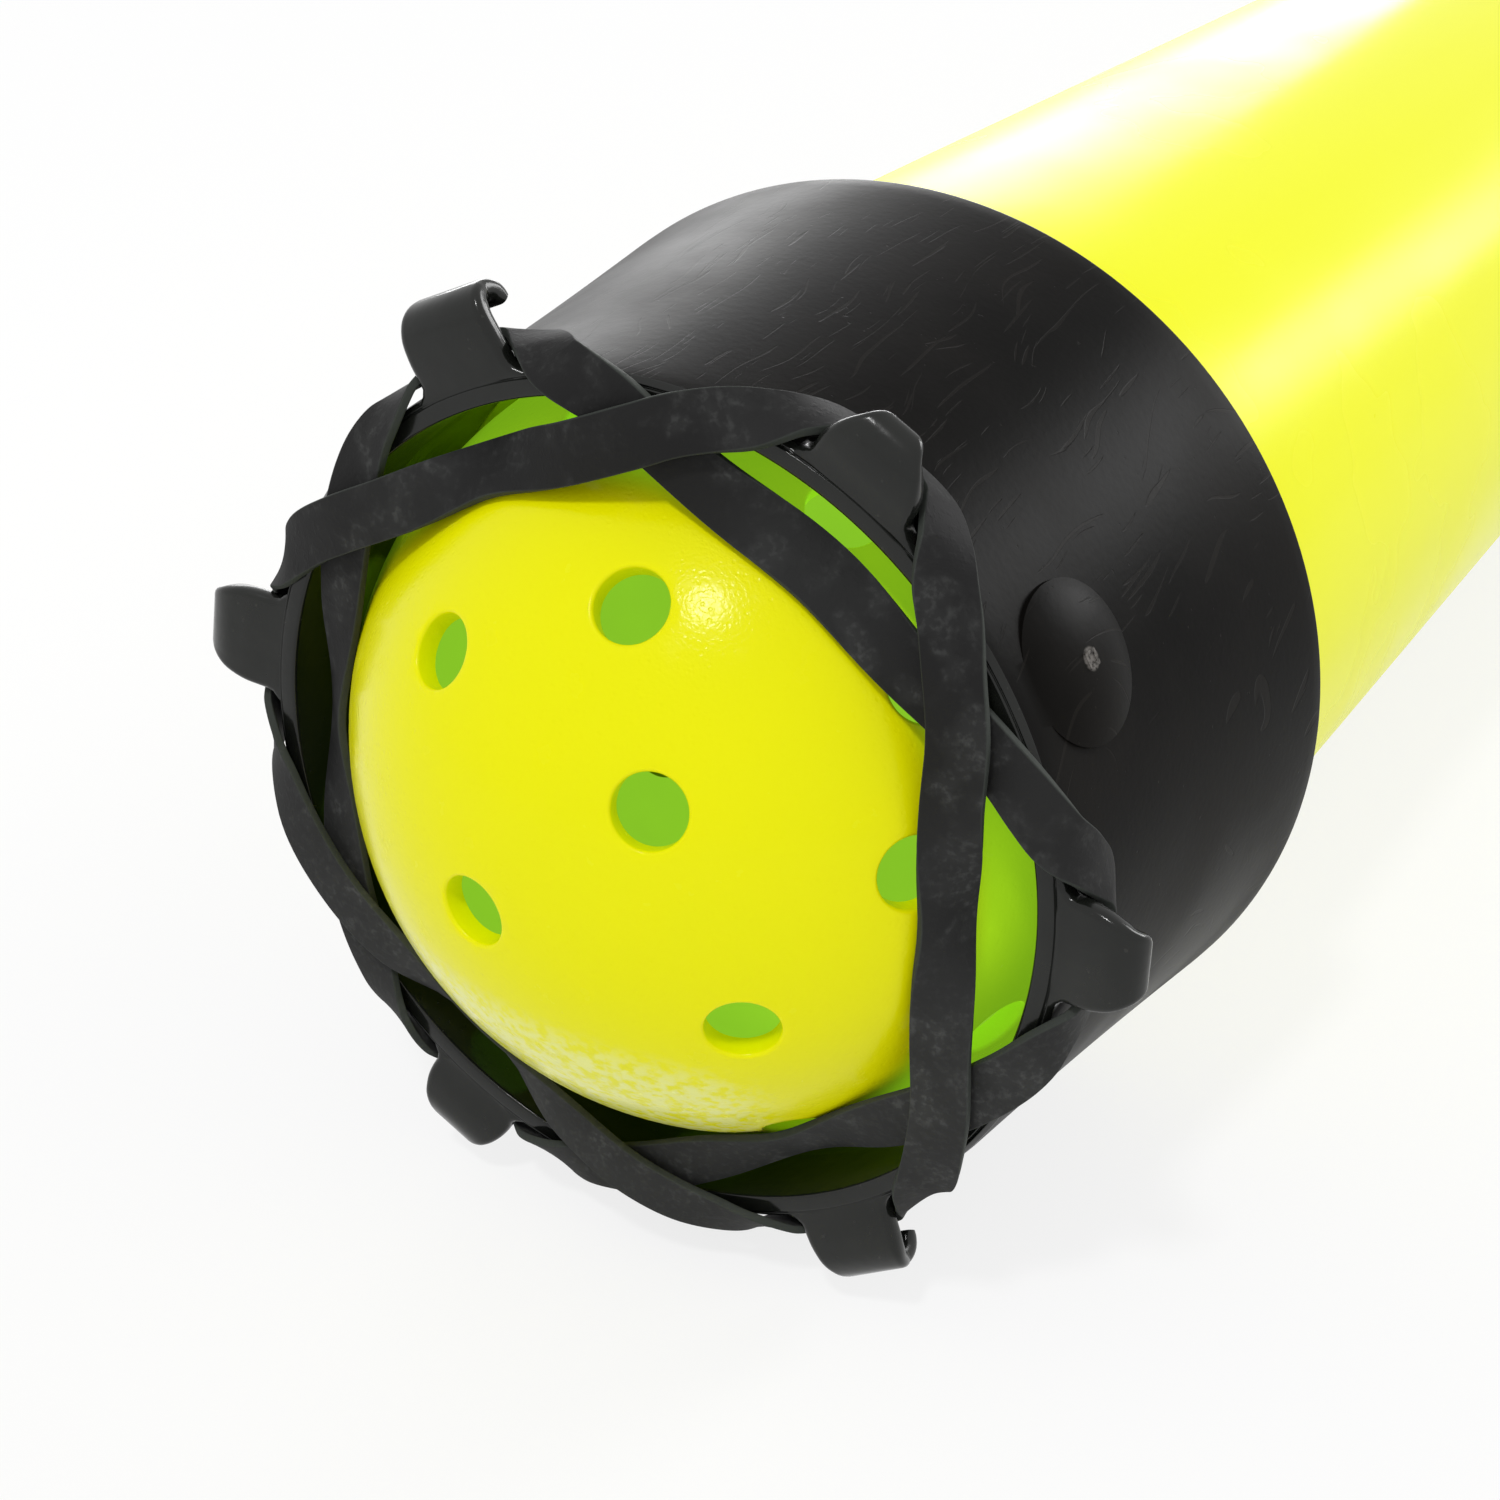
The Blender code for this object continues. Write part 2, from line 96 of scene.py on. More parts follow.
def turnMesh(outline, segments, closed=True, upright=False):
    # an outline of (radius, depth) in mm, turned round the tube's axis, or upright round Z
    bm = bmesh.new()
    axis = (0, 0, 1) if upright else (0, 1, 0)
    verts = []
    for radius, depth in outline:
        spot = (radius * mm, 0, depth * mm) if upright else (0, depth * mm, radius * mm)
        verts.append(bm.verts.new(spot))
    pairs = list(zip(verts, verts[1:]))
    if closed:
        pairs.append((verts[-1], verts[0]))
    edges = [bm.edges.new(pair) for pair in pairs]
    bmesh.ops.spin(
        bm, geom=verts + edges, cent=(0, 0, 0), axis=axis, angle=math.tau, steps=segments,
    )
    bmesh.ops.remove_doubles(bm, verts=bm.verts, dist=sameSpot)
    return bm


def skinRings(bm, rings, closed=False):
    rows = [[bm.verts.new(point) for point in ring] for ring in rings]
    pairs = list(zip(rows, rows[1:]))
    if closed:
        pairs.append((rows[-1], rows[0]))
    count = len(rows[0])
    for lower, upper in pairs:
        for i in range(count):
            j = (i + 1) % count
            bm.faces.new((lower[i], lower[j], upper[j], upper[i]))
    if not closed:
        bm.faces.new(rows[0][::-1])
        bm.faces.new(rows[-1])


def smoothCurve(values, spans, i, t, closed):
    # a smooth curve through uneven points: value i to value i + 1, at t from 0 to 1
    count = len(values)

    def value(k):
        return values[k % count] if closed else values[min(max(k, 0), count - 1)]

    def span(k):
        return spans[k % len(spans)] if closed else spans[min(max(k, 0), len(spans) - 1)]

    def slope(k):
        before = (value(k) - value(k - 1)) / span(k - 1)
        after = (value(k + 1) - value(k)) / span(k)
        return (before * span(k) + after * span(k - 1)) / (span(k) + span(k - 1))

    start = value(i)
    end = value(i + 1)
    leave = slope(i) * span(i)
    arrive = slope(i + 1) * span(i)
    square = t * t
    cube = square * t
    return (
        start * (2 * cube - 3 * square + 1)
        + leave * (cube - 2 * square + t)
        + end * (3 * square - 2 * cube)
        + arrive * (cube - square)
    )


def lengthsBetween(points, closed):
    pairs = list(zip(points, points[1:]))
    if closed:
        pairs.append((points[-1], points[0]))
    return [(b - a).length for a, b in pairs]


def makeThing(name, bm, place=mouthPlace, sharpAngle=40):
    bmesh.ops.recalc_face_normals(bm, faces=bm.faces)
    mesh = bpy.data.meshes.new(name)
    bm.to_mesh(mesh)
    bm.free()
    mesh.shade_smooth()
    mesh.set_sharp_from_angle(angle=math.radians(sharpAngle))
    thing = bpy.data.objects.new(name, mesh)
    thing.location = place
    bpy.context.scene.collection.objects.link(thing)
    return thing


def applyShapes(target, tools, sharpAngle=40):
    # joins or cuts with each tool in turn, and keeps the result as plain mesh
    for tool, operation in tools:
        modifier = target.modifiers.new(tool.name, "BOOLEAN")
        modifier.operation = operation
        modifier.solver = "EXACT"
        modifier.object = tool
    bpy.context.view_layer.update()
    depsgraph = bpy.context.evaluated_depsgraph_get()
    result = bpy.data.meshes.new_from_object(target.evaluated_get(depsgraph))
    target.modifiers.clear()
    target.data = result
    result.shade_smooth()
    result.set_sharp_from_angle(angle=math.radians(sharpAngle))
    for tool, _ in tools:
        bpy.data.objects.remove(tool, do_unlink=True)


def finishPiece(piece, body, node, slot, *materials):
    for material in materials:
        piece.data.materials.append(material)
    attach(piece, body)
    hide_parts(node)
    return piece


# helpers for materials: a noise in a dictionary is its scale, the two levels that it is spread
# between, and where it needs them its detail and distortion, and a bump is its strength and
# its height in metres

def addNode(tree, kind, inputs=None, **settings):
    made = tree.nodes.new(kind)
    for key, value in settings.items():
        setattr(made, key, value)
    for key, value in (inputs or {}).items():
        if isinstance(value, bpy.types.NodeSocket):
            tree.links.new(value, made.inputs[key])
        else:
            made.inputs[key].default_value = value
    return made


def newMaterial(name, **sockets):
    material = bpy.data.materials.new(name)
    material.use_nodes = True
    tree = material.node_tree
    shader = tree.nodes["Principled BSDF"]
    for key, value in sockets.items():
        shader.inputs[key.replace("_", " ")].default_value = value
    return material, tree, shader


def ownPlace(tree):
    # where a point is on the piece itself, so that a finish moves with it
    return addNode(tree, "ShaderNodeTexCoord").outputs["Object"]


def stretched(tree, source, scale, turn=(0, 0, 0)):
    settings = {"Vector": source, "Scale": scale, "Rotation": turn}
    return addNode(tree, "ShaderNodeMapping", settings).outputs[0]


def between(tree, value, low, high):
    # 0 at the first level and 1 at the second
    settings = {"Value": value, "From Min": low, "From Max": high}
    spread = addNode(tree, "ShaderNodeMapRange", settings, interpolation_type="SMOOTHSTEP")
    return spread.outputs[0]


def noiseMask(tree, source, scale, low, high, detail=3.0, distortion=0.0):
    noise = addNode(tree, "ShaderNodeTexNoise", {
        "Vector": source, "Scale": scale, "Detail": detail, "Distortion": distortion,
    })
    return between(tree, noise.outputs["Fac"], low, high)


def vectorCalc(tree, operation, a, b):
    return addNode(tree, "ShaderNodeVectorMath", {0: a, 1: b}, operation=operation)


def zoneMask(tree, place, direction, low, high):
    # spread between two places, in metres along a direction
    along = vectorCalc(tree, "DOT_PRODUCT", place, direction)
    return between(tree, along.outputs["Value"], low, high)


def mixColours(tree, factor, first, second):
    # in the mix node 6 and 7 are the colours that go in, and 2 is the one that comes out
    mix = addNode(tree, "ShaderNodeMix", data_type="RGBA")
    for index, value in ((0, factor), (6, first), (7, second)):
        if isinstance(value, bpy.types.NodeSocket):
            tree.links.new(value, mix.inputs[index])
        else:
            mix.inputs[index].default_value = (*value, 1.0) if index else value
    return mix.outputs[2]


def calc(tree, operation, a, b):
    return addNode(tree, "ShaderNodeMath", {0: a, 1: b}, operation=operation).outputs[0]


def times(tree, a, b):
    return calc(tree, "MULTIPLY", a, b)


def scaled(tree, value, share, plus):
    return calc(tree, "ADD", times(tree, value, share), plus)


def paint(tree, shader, colour):
    tree.links.new(colour, shader.inputs["Base Color"])


def roughen(tree, shader, mask, share, roughness):
    tree.links.new(scaled(tree, mask, share, roughness), shader.inputs["Roughness"])


def addBump(tree, shader, height, strength, distance):
    settings = {"Height": height, "Strength": strength, "Distance": distance}
    bump = addNode(tree, "ShaderNodeBump", settings)
    tree.links.new(bump.outputs[0], shader.inputs["Normal"])


# tube

tubeLook = {
    "radius": 40.6, "bore": 38.8, "edge": 0.4, "segments": 192, "lengths": 24,
    "colour": (0.80, 0.82, 0.005), "paleColour": (0.84, 0.86, 0.05),
    "roughness": 0.23, "ior": 1.46, "specular": 0.07,
    "streaks": (1.0, 0.35, 0.7), "streakStretch": (60, 1.5, 60), "streakShare": 0.25,
    "haze": (30, 0.4, 0.75), "hazeRoughness": 0.08,
    "ripple": (1.0, 0.2, 0.8), "rippleStretch": (40, 4, 40), "bump": (0.15, 0.0004),
}


def makeTubeMaterial(look):
    material, tree, shader = newMaterial(
        "neonTubePlastic", IOR=look["ior"], Specular_IOR_Level=look["specular"],
    )
    place = ownPlace(tree)
    streaks = noiseMask(tree, stretched(tree, place, look["streakStretch"]), *look["streaks"])
    share = times(tree, streaks, look["streakShare"])
    paint(tree, shader, mixColours(tree, share, look["colour"], look["paleColour"]))
    haze = noiseMask(tree, place, *look["haze"])
    roughen(tree, shader, haze, look["hazeRoughness"], look["roughness"])
    ripple = noiseMask(tree, stretched(tree, place, look["rippleStretch"]), *look["ripple"])
    addBump(tree, shader, ripple, *look["bump"])
    return material


def makeTube(look):
    front = tubeFront
    back = tubeFront + tubeLength
    inner, outer, edge = look["bore"], look["radius"], look["edge"]
    outline = roundCorners([
        (outer, front, edge), (outer, back, edge), (inner, back, edge), (inner, front, edge),
    ])
    # the long straight sides get rings of points on the way
    steps = look["lengths"]
    finer = []
    for i, (radius, depth) in enumerate(outline):
        before = outline[i - 1][1]
        if abs(depth - before) > tubeLength / 2:
            finer += [(radius, before + (depth - before) * k / steps) for k in range(1, steps)]
        finer.append((radius, depth))
    tube = makeThing("tube_shell", turnMesh(finer, look["segments"]))
    finishPiece(tube, "tube", "tube", "tube_plastic", makeTubeMaterial(look))


makeTube(tubeLook)
print("tube made")


# collar with its hooks

collarLook = {
    "lipBore": 37.7, "lipOuter": 39.25, "mouthRadius": 40.0, "backRadius": 45.1,
    "length": 46.4, "hollowing": 0.25, "segments": 240,
    "shoulder": 22.0, "socket": 40.9, "socketMouth": 42.6, "socketFlare": 6.0,
    "throatWidening": 0.55, "wallStart": 2.0, "wallSteps": 20, "mouthDepth": 0.65,
    "lipEdge": 0.4, "mouthEdge": 0.3, "backEdge": 0.4, "socketMouthEdge": 0.25,
    "socketEdge": 1.0, "shoulderEdge": 0.3, "throatEdge": 2.0,
    # the groove round the lip's front: radius past the lip, depth and rounding
    "lipGroove": ((0.0, 0.0, 0.12), (0.14, 0.3, 0.06), (0.3, 0.1, 0.1)),
}
vinylLook = {
    "colour": (0.0029, 0.0027, 0.0024), "dustColour": (0.036, 0.032, 0.028),
    "scuffColour": (0.15, 0.14, 0.13), "roughness": 0.34, "ior": 1.45, "specular": 0.038,
    "clouds": (55, 0.38, 0.72, 5), "cloudDust": 0.12, "cloudRoughness": 0.10,
    "specks": (1500, 0.77, 0.80, 1), "markDust": 0.13,
    "scuffs": (2200, 0.3, 0.6), "scuffReach": (0.0011, 0.0008),
    "scratches": (1.0, 0.775, 0.80, 0.0), "scratchStretch": (2600, 110, 60),
    "scratchTurns": ((0.3, 0.5, 0.2), (1.1, 0.2, 0.9), (-0.7, 1.0, 0.4), (0.2, -0.6, 1.3)),
    "scratchBends": (0.002, 0.005, 0.008, 0.011), "bendScale": 60.0,
    "grain": (1400, 0.2, 0.8, 2), "grainHeight": 0.35, "bump": (0.25, 0.00006),
}
glossLook = {
    "colour": (0.0068, 0.0076, 0.0064), "dustColour": (0.030, 0.031, 0.027),
    "roughness": 0.15, "ior": 1.45, "specular": 0.36,
    "clouds": (130, 0.40, 0.72, 5), "cloudDust": 0.15, "cloudRoughness": 0.12,
    "specks": (1700, 0.74, 0.78, 1), "speckDust": 0.5,
    "ripple": (420, 0.2, 0.8, 3), "bump": (0.2, 0.00012),
    # which faces are glossy: mm past the surface, mm of depth, degrees from a hook's middle
    "hookHeight": 0.35, "hookDepth": 5.0, "hookAside": 12.0,
    "lipDepth": 0.7, "lipSpare": 0.4, "boreSpare": 0.1,
}
hookLook = {
    "angles": (-23.5, 31.0, 91.0, 149.0, 209.0, 280.0),
    # mm that some soft hooks stand out further, and how far from the root all of it is reached
    "stretch": (0.3, -0.4, 0.0, 0.0, 0.5, 1.4), "stretchReach": 6.0,
    # radius and depth along the middle of a hook, from its root out and round its curl
    "line": (
        (38.6, 1.2), (41.0, 0.8), (43.0, 0.45), (44.6, 0.45),
        (45.7, 1.0), (46.2, 2.2), (45.9, 3.5), (44.9, 4.3),
    ),
    # the point where the line stands out furthest, and how many points each hook's curl keeps
    "crest": 5, "linePoints": (8, 6, 6, 8, 6, 6),
    # how much of the width is left at each crest, and how far below it all of it is reached
    "crowns": (0.82, 0.28, 0.46, 0.64, 0.22, 0.40), "cornerReach": 5.2,
    "thickness": 1.8, "halfWidth": 4.9, "rootFlare": 1.6, "flareTop": 40.8,
    "edge": 0.75, "mostOfHalf": 0.9, "tipBluntness": 0.25, "steps": 5,
}
domeLook = {
    "angle": 61.2, "depth": 9.7, "radius": 6.9, "height": 1.35, "root": 1.3,
    "arcSteps": 14, "segments": 72,
    "mark": 0.72, "markInside": 0.55, "markRoot": 0.3, "markHeight": 0.13,
}


def collarRadius(depth):
    look = collarLook
    share = depth / (look["length"] - look["backEdge"])
    widened = look["mouthRadius"] + (look["backRadius"] - look["mouthRadius"]) * share
    return widened - look["hollowing"] * math.sin(math.pi * share)


def collarOutline(look):
    lip, outer = look["lipBore"], look["lipOuter"]
    length, shoulder = look["length"], look["shoulder"]
    start, steps = look["wallStart"], look["wallSteps"]
    corners = [(lip, 0, look["lipEdge"])]
    corners += [(outer + past, depth, rounding) for past, depth, rounding in look["lipGroove"]]
    corners.append((look["mouthRadius"], look["mouthDepth"], look["mouthEdge"]))
    depths = [start + (length - 2 * start) * k / steps for k in range(steps + 1)]
    corners += [(collarRadius(depth), depth, 0) for depth in depths]
    corners += [
        (look["backRadius"], length, look["backEdge"]),
        (look["socketMouth"], length, look["socketMouthEdge"]),
        (look["socket"], length - look["socketFlare"], look["socketEdge"]),
        (look["socket"], shoulder, 0),
        (tubeLook["bore"], shoulder, look["shoulderEdge"]),
        (lip + look["throatWidening"], shoulder * 2 / 3, 0),
        (lip, shoulder / 3, look["throatEdge"]),
    ]
    return roundCorners(corners)


def roundedSection(halfWidth, halfThickness, edge, steps=4):
    corners = [
        (halfWidth, -halfThickness, edge), (halfWidth, halfThickness, edge),
        (-halfWidth, halfThickness, edge), (-halfWidth, -halfThickness, edge),
    ]
    return roundCorners(corners, steps)


def hookHalfWidth(look, radius, crestRadius, crown):
    width = look["halfWidth"]
    if radius < look["flareTop"]:
        share = (look["flareTop"] - radius) / (look["flareTop"] - collarLook["lipOuter"])
        width += look["rootFlare"] * min(share, 1.0) ** 2
    missing = 1 - min((crestRadius - radius) / look["cornerReach"], 1.0)
    return width * (crown + (1 - crown) * math.sqrt(1 - missing ** 2))


def hookRings(look, angle, stretch, points, crown):
    root, *rest = (Vector((radius, depth, 0)) for radius, depth in look["line"][:points])
    line = [root]
    for point in rest:
        share = min((point - root).length / look["stretchReach"], 1.0)
        line.append(point + Vector((stretch * share, 0, 0)))
    spans = lengthsBetween(line, closed=False)
    steps = look["steps"]
    centres = []
    for i in range(len(spans)):
        centres += [smoothCurve(line, spans, i, k / steps, False) for k in range(steps)]
    centres.append(line[-1])
    reach = lengthsBetween(centres, closed=False)
    crest = look["crest"] * steps
    crestRadius = centres[crest].x
    outward = radialAt(angle)
    aside = radialAt(angle + 90)
    back = Vector((0, 1, 0))
    last = len(centres) - 1
    rings = []
    for i, centre in enumerate(centres):
        along = (centres[min(i + 1, last)] - centres[max(i - 1, 0)]).normalized()
        fromTip = sum(reach[i:]) + look["tipBluntness"]
        width = hookHalfWidth(look, centre.x if i < crest else crestRadius, crestRadius, crown)
        thickness = look["thickness"] / 2
        if fromTip < thickness:
            thickness = math.sqrt(thickness ** 2 - (thickness - fromTip) ** 2)
        through = outward * -along.y + back * along.x
        middle = outward * centre.x + back * centre.y
        edge = min(look["edge"], thickness * look["mostOfHalf"])
        section = roundedSection(width, thickness, edge)
        rings.append([(middle + aside * a + through * b) * mm for a, b in section])
    return rings


def makeHook(look, *measures):
    bm = bmesh.new()
    skinRings(bm, hookRings(look, *measures))
    return makeThing("hookShape", bm)


def domeMatrix(look):
    # stands the dome on the collar's sloping side
    widening = collarLook["backRadius"] - collarLook["mouthRadius"]
    slope = math.atan2(widening, collarLook["length"])
    place = radialAt(look["angle"]) * collarRadius(look["depth"]) + Vector((0, look["depth"], 0))
    sideways = Matrix.Rotation(math.radians(look["angle"]), 4, "Y")
    return Matrix.Translation(place * mm) @ (sideways @ Matrix.Rotation(slope, 4, "X"))


def makeDome(look):
    radius, height, root, steps = look["radius"], look["height"], look["root"], look["arcSteps"]
    sphere = (radius ** 2 + height ** 2) / (2 * height)
    opening = math.asin(radius / sphere)
    arc = [opening * k / steps for k in range(steps + 1)]
    outline = [(sphere * math.sin(a), sphere * math.cos(a) - sphere + height) for a in arc]
    outline += [(radius, -root), (0, -root)]
    bm = turnMesh(outline, look["segments"], closed=False, upright=True)
    bmesh.ops.transform(bm, matrix=domeMatrix(look), verts=bm.verts)
    return makeThing("domeShape", bm)


def makeGateMark(look):
    # the small square frame that the mould's gate left on the dome
    half = look["mark"]
    low, high = look["height"] - look["markRoot"], look["height"] + look["markHeight"]
    outer = [(half, half), (-half, half), (-half, -half), (half, -half)]
    inner = [(x * look["markInside"], y * look["markInside"]) for x, y in outer]
    levels = ((outer, low), (outer, high), (inner, high), (inner, low))
    rings = [[Vector((x, y, height)) * mm for x, y in square] for square, height in levels]
    bm = bmesh.new()
    skinRings(bm, rings, closed=True)
    bmesh.ops.transform(bm, matrix=domeMatrix(look), verts=bm.verts)
    return makeThing("gateMarkShape", bm)


def scratchMask(tree, look, place, turn, bend):
    # fine lines that lie roughly one way, bent a little
    wander = addNode(tree, "ShaderNodeTexNoise", {
        "Vector": place, "Scale": look["bendScale"], "Detail": 1.0,
    }).outputs["Color"]
    bent = vectorCalc(tree, "MULTIPLY", wander, (bend, bend, bend)).outputs[0]
    moved = vectorCalc(tree, "ADD", place, bent).outputs[0]
    return noiseMask(tree, stretched(tree, moved, look["scratchStretch"], turn), *look["scratches"])


def collarMarks(tree, look, place):
    # scratches that lie several ways, and specks
    marks = noiseMask(tree, place, *look["specks"])
    for turn, bend in zip(look["scratchTurns"], look["scratchBends"]):
        marks = calc(tree, "MAXIMUM", marks, scratchMask(tree, look, place, turn, bend))
    return marks


def makeCollarMaterial(look):
    material, tree, shader = newMaterial(
        "blackVinyl", IOR=look["ior"], Specular_IOR_Level=look["specular"],
    )
    place = ownPlace(tree)
    clouds = noiseMask(tree, place, *look["clouds"])
    marks = collarMarks(tree, look, place)
    dust = scaled(tree, clouds, look["cloudDust"], times(tree, marks, look["markDust"]))
    colour = mixColours(tree, dust, look["colour"], look["dustColour"])
    # the gate mark is scuffed paler than the rest
    gate = domeMatrix(domeLook) @ Vector((0, 0, domeLook["height"] * mm))
    toGate = vectorCalc(tree, "DISTANCE", place, tuple(gate)).outputs["Value"]
    near = between(tree, toGate, *look["scuffReach"])
    scuffed = times(tree, near, noiseMask(tree, place, *look["scuffs"]))
    paint(tree, shader, mixColours(tree, scuffed, colour, look["scuffColour"]))
    roughen(tree, shader, clouds, look["cloudRoughness"], look["roughness"])
    grain = times(tree, noiseMask(tree, place, *look["grain"]), look["grainHeight"])
    addBump(tree, shader, calc(tree, "SUBTRACT", grain, marks), *look["bump"])
    return material


def makeGlossMaterial(look):
    # the hooks, the lip's front and the bore are smoother than the outside
    material, tree, shader = newMaterial(
        "blackVinylGlossy", IOR=look["ior"], Specular_IOR_Level=look["specular"],
    )
    place = ownPlace(tree)
    clouds = noiseMask(tree, place, *look["clouds"])
    specks = times(tree, noiseMask(tree, place, *look["specks"]), look["speckDust"])
    dust = scaled(tree, clouds, look["cloudDust"], specks)
    paint(tree, shader, mixColours(tree, dust, look["colour"], look["dustColour"]))
    roughen(tree, shader, clouds, look["cloudRoughness"], look["roughness"])
    addBump(tree, shader, noiseMask(tree, place, *look["ripple"]), *look["bump"])
    return material


def isGlossy(look, spot):
    radius = math.hypot(spot.x, spot.z) / mm
    depth = spot.y / mm
    angle = math.degrees(math.atan2(spot.x, spot.z))
    aside = min(abs((angle - hook + 180) % 360 - 180) for hook in hookLook["angles"])
    standsOut = radius > collarRadius(depth) + look["hookHeight"]
    onHook = standsOut and depth < look["hookDepth"] and aside < look["hookAside"]
    onLip = depth < look["lipDepth"] and radius < collarLook["mouthRadius"] + look["lipSpare"]
    deepest = collarLook["shoulder"] + look["boreSpare"]
    inBore = radius < collarLook["lipOuter"] and depth < deepest
    return onHook or onLip or inBore


def makeCollar(look):
    collar = makeThing("mouth_collar_vinyl", turnMesh(collarOutline(look), look["segments"]))
    measures = zip(*(hookLook[key] for key in ("angles", "stretch", "linePoints", "crowns")))
    shapes = [makeHook(hookLook, *measure) for measure in measures]
    shapes += [makeDome(domeLook), makeGateMark(domeLook)]
    applyShapes(collar, [(shape, "UNION") for shape in shapes])
    for face in collar.data.polygons:
        face.material_index = int(isGlossy(glossLook, face.center))
    materials = (makeCollarMaterial(vinylLook), makeGlossMaterial(glossLook))
    return finishPiece(collar, "tube", "mouth_collar", "collar_vinyl", *materials)


collar = makeCollar(collarLook)
print("collar made, faces:", len(collar.data.polygons))


# rubber bands

bandLook = {
    "thickness": 0.8, "edge": 0.16, "edgeSteps": 3, "steps": 10, "sharpAngle": 80,
    # each run's middle, from the top hook round: radius, lean and width
    "middles": (
        (32.4, 42.0, 5.6), (30.8, 33.0, 5.2), (32.3, 40.0, 5.5),
        (32.2, 40.0, 5.4), (32.9, 44.0, 5.5), (32.6, 48.0, 5.3),
    ),
    # from behind a hook out to the lip: degrees aside, radius, depth, lean and width
    "wrap": (
        (0.0, 42.1, 4.7, -26.0, 4.5), (6.3, 42.0, 4.5, -20.0, 4.5),
        (10.3, 41.5, 2.2, 4.0, 4.8), (14.3, 40.3, -0.05, 46.0, 5.1),
    ),
    "underLip": ((18.0, 39.3, -0.7, 66.0, 5.1), (22.5, 38.0, -0.85, 82.0, 5.1)),
    "overLip": ((18.0, 39.3, -1.0, 66.0, 5.1), (22.5, 38.0, -2.0, 80.0, 5.1)),
    "underCrossing": (36.3, -1.15, 86.0, 5.2), "overCrossing": (36.3, -2.75, 86.0, 5.2),
    # how far on from a crossing, how much of the depth and how much of the turn
    "underEase": (0.38, 0.1, 0.25), "overEase": (0.38, 0.02, 0.1),
    "wideGapPull": 0.15, "usualHalfGap": 28.0, "ballClearance": 0.3,
    "colour": (0.0105, 0.0102, 0.0105), "chalkColour": (0.060, 0.061, 0.060),
    "edgeColour": (0.050, 0.058, 0.050), "roughness": 0.62, "ior": 1.45, "specular": 0.15,
    "clouds": (45, 0.42, 0.66, 2), "cloudChalk": 0.13,
    "patches": (260, 0.44, 0.72, 6, 0.4), "grains": (1500, 0.45, 0.75, 3),
    # the share that the grains break up, and the share that is even; the second pair and the
    # heights after it paint the lower runs paler, as painted light on their shade
    "patchChalk": (0.6, 0.2), "paintedLiftChalk": (0.2, 0.28), "paintedLiftHeights": (0.006, -0.017),
    "rim": (0.93, 1.0), "rimShare": 0.6, "chalkRoughness": 0.25,
    "patchHeight": 0.5, "bump": (0.3, 0.00008),
}
ballLook = {
    "radius": 37.0, "wall": 2.0, "depth": 20.0, "segments": 192, "insideSpare": 0.2,
    "holes": 40, "holeRadius": 3.2, "holeEdge": 0.35, "holeEdgeSteps": 4,
    # holes that show in the mouth: degrees aside from the mouth's axis and degrees up
    "seenHoles": (
        (10, 41), (-22, 28), (17, 16), (-9, -4), (29, -15), (51, 7), (69, -25), (50, 54),
    ),
    # seen places without a hole, which the hidden holes keep away from
    "bareSpots": ((0, -37), (-47, 8), (-36, -25), (-60, 36)),
    "spiralTurn": 1.179, "spiralSpots": 160, "spreadRounds": 120, "spreadStep": 0.002,
    "cutterSegments": 48, "cutterFrom": 0.8, "cutterTo": 1.05,
    # shadeColour is the ball's green in shade, also painted in as painted shade behind the bands,
    # and the glow colour below is a painted glow, an emission standing in for light there
    "colour": (0.82, 0.80, 0.0), "shadeColour": (0.36, 0.66, 0.01),
    "paintedGlowColour": (0.16, 0.36, 0.008), "frostColour": (0.83, 0.85, 0.27),
    "roughness": 0.18, "ior": 1.46, "specular": 0.13,
    "clouds": (40, 0.35, 0.75), "cloudShade": 0.04,
    # zones are a direction and two places along it in metres; the glow zones place a painted glow
    # and painted shade on the ball's back behind the bands
    "paintedGlowBack": ((0, 1, 0), -0.0215, -0.0170), "paintedGlowSide": ((0.7, 0, 0.7), -0.006, 0.006),
    "paintedSideGlow": (0.8, 0.2), "paintedGlowShade": 0.8,
    "frostBelow": ((-0.15, 0.0, -1.0), 0.0112, 0.0164),
    "frostAhead": ((-0.10, -0.80, -0.59), 0.0300, 0.0336),
    "crackle": (900, 0.36, 0.60, 8), "frostShare": 0.95,
    "scuffs": (350, 0.5, 0.75, 5), "scuffRoughness": 0.12,
    "pitScale": 1250.0, "pitLevels": (0.10, 0.30),
    "grain": (2600, 0.35, 0.65, 1), "grainHeight": 0.5, "bump": (0.4, 0.00003),
    # the inside glow is a painted glow: an emission that stands in for light coming through the
    # thin shell
    "insideColour": (0.20, 0.30, 0.02), "insidePaintedGlow": (0.185, 0.375, 0.02),
    "insideRoughness": 0.5, "insideSpecular": 0.1,
    "insideClouds": (60, 0.35, 0.75), "insideShade": 0.3, "insideDim": 0.25,
}


def bandStation(angle, radius, depth, lean, width):
    # a band's middle, the way that its outer face looks, and its width
    radial = radialAt(angle)
    tipped = math.radians(lean)
    point = radial * radius + Vector((0, depth, 0))
    return point, radial * math.cos(tipped) - Vector((0, 1, 0)) * math.sin(tipped), width


def stationOnBall(look, angle, radius, lean, width):
    # the depth at which the band's inner face just clears the ball
    tipped = math.radians(lean)
    halfDepth = look["thickness"] / 2
    reach = ballLook["radius"] + look["ballClearance"]
    depths = []
    for across in (-width / 2, 0, width / 2):
        spot = radius - halfDepth * math.cos(tipped) + across * math.sin(tipped)
        beforeCentre = math.sqrt(reach ** 2 - spot ** 2)
        depths.append(ballLook["depth"] - beforeCentre - across * math.cos(tipped))
    return bandStation(angle, radius, min(depths) - halfDepth * math.sin(tipped), lean, width)


